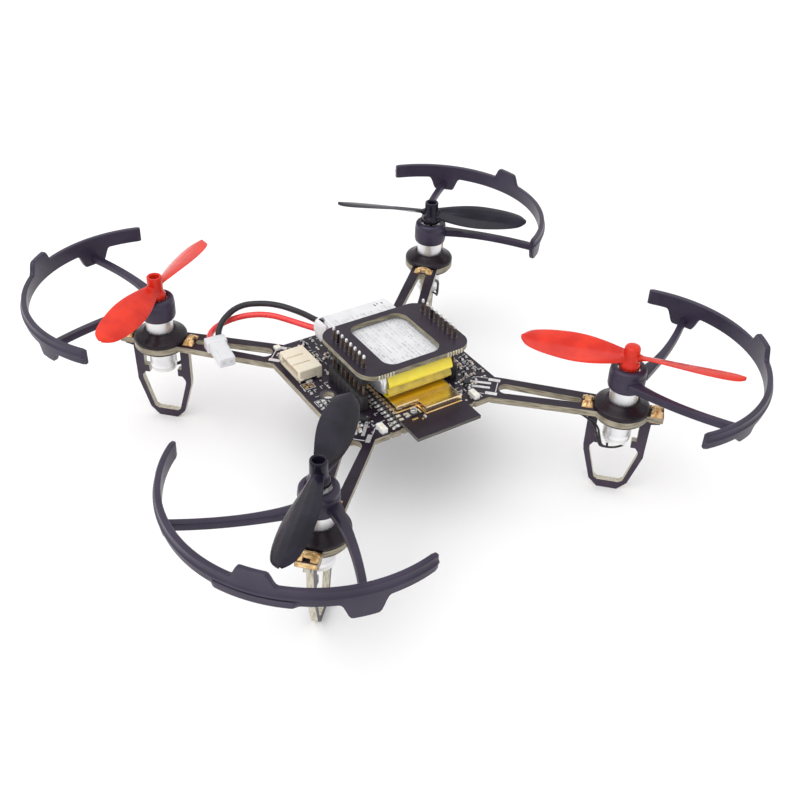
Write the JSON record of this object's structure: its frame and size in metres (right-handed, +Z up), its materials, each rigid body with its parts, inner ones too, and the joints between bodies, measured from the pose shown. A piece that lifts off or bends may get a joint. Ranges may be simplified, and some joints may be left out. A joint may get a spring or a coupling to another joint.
{
  "type": "palm-size quadcopter",
  "caption": "Palm-size quadcopter built on its own circuit board, with slotted arms, soldered board legs, two-blade propellers, clip-on guards and a windowed battery cover.",
  "frame": {"origin": "on the surface the feet stand on, under the centre of the main board", "axes": "+Z up; the nose, with the radio module's aerial end, points along -Y; +X is the craft's own left"},
  "size_m": [0.1511, 0.1508, 0.0446],
  "materials": {
    "black_plastic": "black moulded plastic",
    "ceramic": "fired ceramic with tinned ends",
    "chip_black": "moulded epoxy",
    "circuit_board": "black solder mask, semi-gloss",
    "cream_plastic": "moulded cream nylon",
    "foil": "laminated battery foil",
    "gold": "gold plate",
    "guard_plastic": "black moulded plastic, satin",
    "header_plastic": "moulded black plastic",
    "leg_board": "black solder mask with bare tan edges",
    "light_lens": "white package with a clear lens",
    "motor_steel": "bright nickel plate",
    "paper": "printed paper label",
    "red_plastic": "red moulded plastic",
    "rubber": "matt black rubber",
    "shaft_steel": "ground steel",
    "shield_metal": "nickel silver can",
    "tin": "tinned metal",
    "white_plastic": "moulded white nylon",
    "wire_black": "soft insulation",
    "wire_red": "soft insulation",
    "yellow_tape": "glossy polyimide-type tape"
  },
  "bodies": {
    "airframe": {"main_board": "circuit_board", "leg_front_left": "leg_board", "leg_front_right": "leg_board", "leg_rear_left": "leg_board", "leg_rear_right": "leg_board", "grommet_front_left": "rubber", "grommet_front_right": "rubber", "grommet_rear_left": "rubber", "grommet_rear_right": "rubber", "motor_can_front_left": "motor_steel", "motor_can_front_right": "motor_steel", "motor_can_rear_left": "motor_steel", "motor_can_rear_right": "motor_steel", "motor_cap_front_left": "white_plastic", "motor_cap_front_right": "white_plastic", "motor_cap_rear_left": "white_plastic", "motor_cap_rear_right": "white_plastic", "guard_front_left": "guard_plastic", "guard_front_right": "guard_plastic", "guard_rear_left": "guard_plastic", "guard_rear_right": "guard_plastic", "motor_wires_front_left": "wire_black", "motor_wires_front_right": "wire_black", "motor_wires_rear_left": "wire_black", "motor_wires_rear_right": "wire_black", "header_bases": "header_plastic", "header_pins": "gold", "battery_cell": "foil", "battery_tape": "yellow_tape", "battery_label": "paper", "battery_lead_red": "wire_red", "battery_lead_black": "wire_black", "battery_plug": "white_plastic", "plug_contacts": "gold", "battery_socket": "cream_plastic", "socket_pins": "tin", "radio_board": "circuit_board", "radio_shield": "shield_metal", "aerial_socket": "gold", "main_chip": "chip_black", "sensor_chip": "chip_black", "regulator_chip": "chip_black", "motor_drivers": "chip_black", "small_resistors": "chip_black", "small_capacitors": "ceramic", "status_lights": "light_lens"},
    "propeller_front_left_body": {"propeller_front_left": "red_plastic", "motor_shaft_front_left": "shaft_steel"},
    "propeller_front_right_body": {"propeller_front_right": "black_plastic", "motor_shaft_front_right": "shaft_steel"},
    "propeller_rear_left_body": {"propeller_rear_left": "black_plastic", "motor_shaft_rear_left": "shaft_steel"},
    "propeller_rear_right_body": {"propeller_rear_right": "red_plastic", "motor_shaft_rear_right": "shaft_steel"},
    "battery_cover_body": {"battery_cover": "circuit_board", "cover_strips": "header_plastic"}
  },
  "joints": [
    {"name": "propeller_spin_front_left", "type": "hinge", "parent": "airframe", "child": "propeller_front_left_body", "pos_m": [0.04243, -0.04243, 0.04], "axis": [0, 0, 1], "continuous": true},
    {"name": "propeller_spin_front_right", "type": "hinge", "parent": "airframe", "child": "propeller_front_right_body", "pos_m": [-0.04243, -0.04243, 0.04], "axis": [0, 0, 1], "continuous": true},
    {"name": "propeller_spin_rear_left", "type": "hinge", "parent": "airframe", "child": "propeller_rear_left_body", "pos_m": [0.04243, 0.04243, 0.04], "axis": [0, 0, 1], "continuous": true},
    {"name": "propeller_spin_rear_right", "type": "hinge", "parent": "airframe", "child": "propeller_rear_right_body", "pos_m": [-0.04243, 0.04243, 0.04], "axis": [0, 0, 1], "continuous": true},
    {"name": "battery_cover_slide", "type": "slide", "parent": "airframe", "child": "battery_cover_body", "axis": [0, 0, 1], "range_m": [0, 0.003]}
  ]
}
